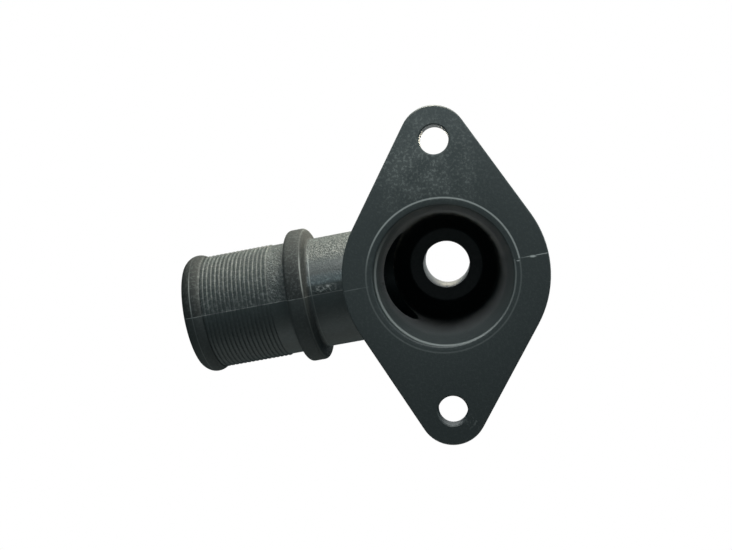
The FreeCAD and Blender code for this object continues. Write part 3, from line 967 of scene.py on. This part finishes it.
@dataclass(frozen=True)
class HosePipe:
    """The hose pipe from its neck to the hose end, turned about its own axis.

    All sizes are in millimetres, and stations run along the pipe from the housing's axis.
    A round is how far a rounding reaches. The radii of neck, bore, collar and hose seat,
    and the ridges' pitch and count, are named as such.

    Attributes:
        splice: Station where the turned pipe takes over from the neck.
        bore_edge: Chamfer of the bore at the hose end.
        collar_start: Station of the foot on the neck of the collar that stops the hose.
        collar_length: Length of the collar's foot.
        collar_slope: How far each of its flanks leans in.
        foot_round: The rounding of its feet.
        ridge_start: Station where the ridges begin.
        ridge_height: Height of the ridges above the seat.
        ridge_rise: Length of their steep flank.
        bead_radius: Crest radius of the bead at the hose end.
        bead_crest: Station of its crest.
        bead_curve: Radius of its rounded section.
        bead_segments: Number of straight runs in that section.
        hose_end: Station where the pipe ends.
        mouth_round: The roundings of the bore's chamfer.
        broad: Reach above which a rounding is broad.
        rounding: Numbers of steps in a narrow and in a broad rounding.
        neck_step: Distance between the rings of the plain neck.
        turns: Number of steps in a full turn.
    """

    splice: float = 24.5
    neck_radius: float = 13.85
    bore_radius: float = 11.0
    bore_edge: float = 0.5
    collar_radius: float = 16.85
    collar_start: float = 32.7
    collar_length: float = 5.3
    collar_slope: float = 0.45
    collar_round: float = 0.95
    foot_round: float = 0.5
    seat_radius: float = 14.04
    ridge_start: float = 42.6
    ridge_pitch: float = 1.09
    ridge_count: int = 16
    ridge_height: float = 0.3
    ridge_rise: float = 0.24
    ridge_round: float = 0.07
    bead_radius: float = 15.05
    bead_crest: float = 62.1
    bead_curve: float = 3.4
    bead_segments: int = 14
    hose_end: float = 65.0
    end_round: float = 0.45
    mouth_round: float = 0.12
    broad: float = 0.2
    rounding: tuple[int, int] = (2, 5)
    neck_step: float = 0.24
    turns: int = 288

    @property
    def land_radius(self) -> float:
        """Return the radius of the ridges' crests."""
        return self.seat_radius + self.ridge_height

    def outline(self) -> list[tuple[float, float, float]]:
        """Return the section's corners: station, radius and reach of their rounding."""
        collar_end = self.collar_start + self.collar_length
        rings = int((self.collar_start - self.foot_round - self.splice) / self.neck_step)
        corners = [
            (self.splice + index * self.neck_step, self.neck_radius, 0.0)
            for index in range(rings)
        ]
        corners += [
            (self.collar_start, self.neck_radius, self.foot_round),
            (self.collar_start + self.collar_slope, self.collar_radius, self.collar_round),
            (collar_end - self.collar_slope, self.collar_radius, self.collar_round),
            (collar_end, self.seat_radius, self.foot_round),
        ]
        for index in range(self.ridge_count + 1):
            foot = self.ridge_start + index * self.ridge_pitch
            corners.append((foot, self.seat_radius, 0.0))
            corners.append((foot + self.ridge_rise, self.land_radius, self.ridge_round))
        centre = self.bead_radius - self.bead_curve
        first = -math.acos((self.land_radius - centre) / self.bead_curve)
        last = math.asin((self.hose_end - self.bead_crest) / self.bead_curve)
        for index in range(self.bead_segments + 1):
            turn = first + (last - first) * index / self.bead_segments
            corners.append((
                self.bead_crest + self.bead_curve * math.sin(turn),
                centre + self.bead_curve * math.cos(turn),
                self.end_round if index == self.bead_segments else 0.0,
            ))
        corners += [
            (self.hose_end, self.bore_radius + self.bore_edge, self.mouth_round),
            (self.hose_end - self.bore_edge, self.bore_radius, self.mouth_round),
            (self.splice, self.bore_radius, 0.0),
        ]
        return corners

    def build(self) -> Mesh:
        """Return the turned pipe, open at its splice, in the row frame."""
        mesh = bmesh.new()
        corners = self.outline()
        points = [mesh.verts.new((station, radius, 0.0)) for station, radius, _ in corners]
        for start, end in zip(points, points[1:]):
            mesh.edges.new((start, end))
        for reach in sorted({reach for _, _, reach in corners if reach > 0}):
            rounded = [
                point for point, corner in zip(points, corners) if corner[2] == reach
            ]
            bmesh.ops.bevel(
                mesh,
                geom=rounded,
                offset=reach,
                segments=self.rounding[reach > self.broad],
                profile=0.5,
                affect="VERTICES",
                material=-1,
            )
        bmesh.ops.spin(
            mesh,
            geom=mesh.verts[:] + mesh.edges[:],
            cent=(0, 0, 0),
            axis=(1, 0, 0),
            angle=FULL_TURN,
            steps=self.turns,
            use_merge=True,
        )
        bmesh.ops.scale(mesh, vec=(MM, MM, MM), verts=mesh.verts)
        bmesh.ops.transform(mesh, matrix=PIPE_AXIS.matrix(), verts=mesh.verts)
        bmesh.ops.recalc_face_normals(mesh, faces=mesh.faces)
        return mesh


@dataclass(frozen=True)
class Flash:
    """Thin flash that the mould leaves along its parting plane, outside the cavities.

    Attributes:
        half_width: Half its width, in millimetres.
        height: Its mean height, in millimetres.
        bore_clearance: Radius about each axis within which there is none.
        face_clearance: Depth down to which the flange has none.
        lump_span: First and last station of the rough lumps on the neck.
        lump_band: Lowest and highest edge of those lumps above the plane.
        lump_height: Height of the lumps.
        lump_scale: Scale of their noise.
        lump_fill: Level added to it; what is then below zero isn't raised.
        pipe_start: Station from which the pipe stands free of the housing.
        pipe_reach: Distance from its axis up to which a point belongs to it.
        nozzle_start: Station along the housing's axis where the nozzle begins.
        nozzle_clearance: Radius within which the nozzle has none.
        housing_clearance: Radius within which the housing has none.
        wave: Mean, swing and scale of its height's waves.
        cut_reach: How near to a cut a corner counts as on it.
        line_reach: How near to the plane a corner is lifted.
    """

    half_width: float = 0.15
    height: float = 0.085
    bore_clearance: float = 12.5
    face_clearance: float = 8.6
    lump_span: Span = (25.4, 31.6)
    lump_band: Span = (0.1, 2.1)
    lump_height: float = 0.50
    lump_scale: float = 1.2
    lump_fill: float = 0.40
    pipe_start: float = 16.0
    pipe_reach: float = 18.0
    nozzle_start: float = 51.0
    nozzle_clearance: float = 7.5
    housing_clearance: float = 14.0
    wave: Place = (0.75, 0.9, 1.7)
    cut_reach: float = 0.004
    line_reach: float = 0.005

    def outside(self, point: Vector) -> bool:
        """Tell whether a point of the plane lies on an outer wall behind the flange."""
        if point.y < self.face_clearance * MM:
            return False
        away = PIPE_AXIS.radius(point)
        if PIPE_AXIS.station(point) > self.pipe_start and away < self.pipe_reach:
            return away > self.bore_clearance
        if HOUSING_AXIS.station(point) > self.nozzle_start:
            return HOUSING_AXIS.radius(point) > self.nozzle_clearance
        return HOUSING_AXIS.radius(point) > self.housing_clearance

    def raise_line(self, mesh: Mesh) -> None:
        """Cut the flash's middle and edges into a mesh and lift its middle."""
        for offset in (-self.half_width, self.half_width, 0.0):
            bmesh.ops.bisect_plane(
                mesh,
                geom=mesh.verts[:] + mesh.edges[:] + mesh.faces[:],
                dist=self.cut_reach * MM,
                plane_co=PARTING.point + PARTING.normal * offset * MM,
                plane_no=PARTING.normal,
            )
        mesh.normal_update()
        middle = [
            vertex
            for vertex in mesh.verts
            if abs(PARTING.over(vertex.co)) < self.line_reach and self.outside(vertex.co)
        ]
        mean, swing, scale = self.wave
        waves = [noise.noise(vertex.co / MM * scale) for vertex in middle]
        for vertex, wave in zip(middle, waves):
            vertex.co += vertex.normal * self.height * (mean + swing * wave) * MM

    def raise_lumps(self, mesh: Mesh) -> None:
        """Roughen the neck just above the flash on the side of the mounting face."""
        first, last = self.lump_span
        low, high = self.lump_band
        moved = []
        for vertex in mesh.verts:
            station = PIPE_AXIS.station(vertex.co)
            above = PARTING.over(vertex.co)
            if not (first < station < last and low < above < high):
                continue
            if vertex.normal.y > 0 or PIPE_AXIS.radius(vertex.co) < self.bore_clearance:
                continue
            fade = math.sin(math.pi * (station - first) / (last - first))
            fade *= math.sin(math.pi * (above - low) / (high - low))
            wave = noise.noise(vertex.co / MM * self.lump_scale)
            rough = max(0.0, wave + self.lump_fill)
            moved.append((vertex, vertex.normal * rough * fade * self.lump_height))
        for vertex, lift in moved:
            vertex.co += lift * MM


@dataclass(frozen=True)
class RingEase:
    """A rounding put on one crisp ring of the casting.

    Attributes:
        axis: The axis that the ring runs round.
        radius: Radius of the ring, in millimetres.
        depths: Least and greatest depth of the ring, in millimetres.
        reach: How far the rounding reaches, in millimetres.
        segments: Number of steps in the rounding.
        leeway: How far from the radius the ring may lie, in millimetres.
    """

    axis: TurningAxis
    radius: float
    depths: Span
    reach: float
    segments: int
    leeway: float = 0.35

    def apply(self, mesh: Mesh, sharp: float) -> None:
        """Bevel the ring's edges that bend by more than a limit, in radians."""
        low, high = self.depths

        def holds(vertex: bmesh.types.BMVert) -> bool:
            near = abs(self.axis.radius(vertex.co) - self.radius) < self.leeway
            return near and low * MM <= vertex.co.y <= high * MM

        ring = [
            edge
            for edge in mesh.edges
            if all(holds(vertex) for vertex in edge.verts)
            and edge.calc_face_angle(0.0) > sharp
        ]
        bmesh.ops.bevel(
            mesh,
            geom=ring,
            offset=self.reach * MM,
            segments=self.segments,
            profile=0.5,
            affect="EDGES",
            material=-1,
        )
        LOG.info("ring %.2f: %d edges eased", self.radius, len(ring))


@dataclass
class Moulding:
    """The whole moulding: flange and housing from the solid, hose pipe turned afresh.

    Attributes:
        node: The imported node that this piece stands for.
        pipe: The turned hose pipe.
        finish: The plastic it is made of.
        flash: The flash along its parting plane.
        rings: The crisp rings that are eased.
        smooth_angle: Edges bent by less than this are shaded smooth, in degrees.
        eased_share: Share of that angle from which rings are eased.
        gap: Width of the seam between casting and pipe, in millimetres.
        merge_reach: How near to each other corners are merged.
        cut_reach: How near to the cut a corner counts as on it.
    """

    node: bpy.types.Object
    pipe: HosePipe
    finish: FilledNylon
    flash: Flash
    rings: tuple[RingEase, ...]
    smooth_angle: float = 25.0
    eased_share: float = 0.6
    gap: float = 0.1
    merge_reach: float = 0.001
    cut_reach: float = 0.0001

    def cut_casting(self) -> Mesh:
        """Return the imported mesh, merged and cut off square across its neck."""
        mesh = bmesh.new()
        mesh.from_mesh(self.node.data)
        bmesh.ops.remove_doubles(mesh, verts=mesh.verts, dist=self.merge_reach * MM)
        station = self.pipe.splice - self.gap
        place = (PIPE_AXIS.origin + PIPE_AXIS.direction * station) * MM
        bmesh.ops.bisect_plane(
            mesh,
            geom=mesh.verts[:] + mesh.edges[:] + mesh.faces[:],
            dist=self.cut_reach * MM,
            plane_co=place,
            plane_no=PIPE_AXIS.direction,
            clear_outer=True,
        )
        return mesh

    def join_pipe(self, casting: Mesh) -> None:
        """Add the turned pipe and close the narrow seams round the neck and the bore."""
        turned = self.pipe.build()
        carrier = bpy.data.meshes.new("turned_pipe")
        turned.to_mesh(carrier)
        turned.free()
        casting.from_mesh(carrier)
        bpy.data.meshes.remove(carrier)
        middle = (self.pipe.neck_radius + self.pipe.bore_radius) / 2
        seam = [edge for edge in casting.edges if edge.is_boundary]
        outside = [edge for edge in seam if PIPE_AXIS.radius(edge.verts[0].co) > middle]
        inside = [edge for edge in seam if PIPE_AXIS.radius(edge.verts[0].co) <= middle]
        bmesh.ops.bridge_loops(casting, edges=outside)
        bmesh.ops.bridge_loops(casting, edges=inside)

    def shade(self, mesh: Mesh) -> None:
        """Shade the faces smooth and keep the crisp edges sharp."""
        limit = math.radians(self.smooth_angle)
        for face in mesh.faces:
            face.smooth = True
        for edge in mesh.edges:
            edge.smooth = edge.is_manifold and edge.calc_face_angle(0.0) < limit

    def build(self) -> None:
        """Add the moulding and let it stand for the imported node."""
        mesh = self.cut_casting()
        for ring in self.rings:
            ring.apply(mesh, math.radians(self.smooth_angle) * self.eased_share)
        self.join_pipe(mesh)
        self.flash.raise_line(mesh)
        self.flash.raise_lumps(mesh)
        self.shade(mesh)
        data = bpy.data.meshes.new("moulded_flange")
        mesh.to_mesh(data)
        mesh.free()
        data.materials.append(self.finish.build())
        piece = bpy.data.objects.new("moulded_flange", data)
        bpy.context.scene.collection.objects.link(piece)
        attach(piece, "root")
        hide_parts("flange_body")
        LOG.info("moulded_flange: %d faces", len(data.polygons))


def main() -> None:
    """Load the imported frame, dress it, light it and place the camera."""
    logging.basicConfig(level=logging.INFO)
    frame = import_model()
    rings = (
        RingEase(HOUSING_AXIS, 18.2, (-0.01, 0.01), 0.10, 2),
        RingEase(HOUSING_AXIS, 16.75, (0.1, 1.1), 0.30, 4),
        RingEase(HOUSING_AXIS, 6.2, (47.0, 49.0), 0.20, 3),
        RingEase(HOUSING_AXIS, 9.8, (46.5, 49.5), 0.40, 3),
        RingEase(PIPE_AXIS, 11.0, (11.0, 37.0), 0.14, 2),
    )
    node = frame["nodes"]["flange_body"]
    Moulding(node, HosePipe(), FilledNylon(), Flash(), rings).build()
    Studio().build()
    PhotoCamera().build()
    bpy.context.scene.view_settings.view_transform = "Standard"


if __name__ == "__main__":
    main()
